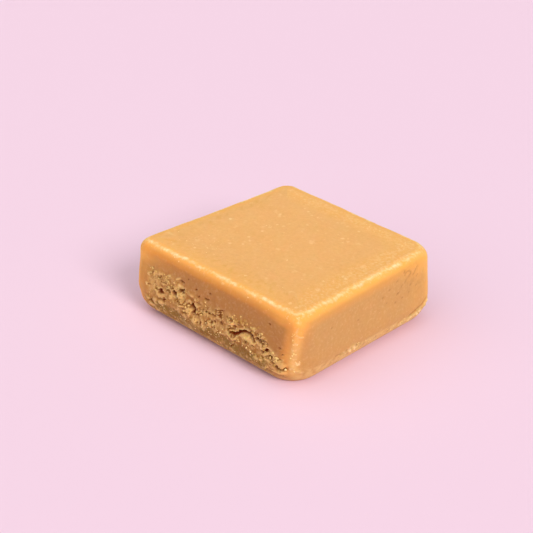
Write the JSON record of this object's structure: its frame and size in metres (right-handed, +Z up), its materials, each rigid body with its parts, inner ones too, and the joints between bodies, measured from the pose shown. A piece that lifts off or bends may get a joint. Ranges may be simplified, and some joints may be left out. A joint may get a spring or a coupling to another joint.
{
  "type": "fudge cube",
  "caption": "Hand-cut cube of vanilla fudge with soft worn edges, smooth cut sides and one crumbly broken side.",
  "frame": {"origin": "middle of the flat base that the cube rests on", "axes": "+Z up, through the low height of the block; the crumbly broken side faces -Y and the smooth side beside it faces +X"},
  "size_m": [0.0346, 0.0336, 0.012],
  "materials": {
    "fudge": "vanilla fudge: dull, slightly translucent pale caramel, lighter and grainy along the worn edges"
  },
  "bodies": {
    "root": {"fudge": "fudge"}
  },
  "joints": []
}
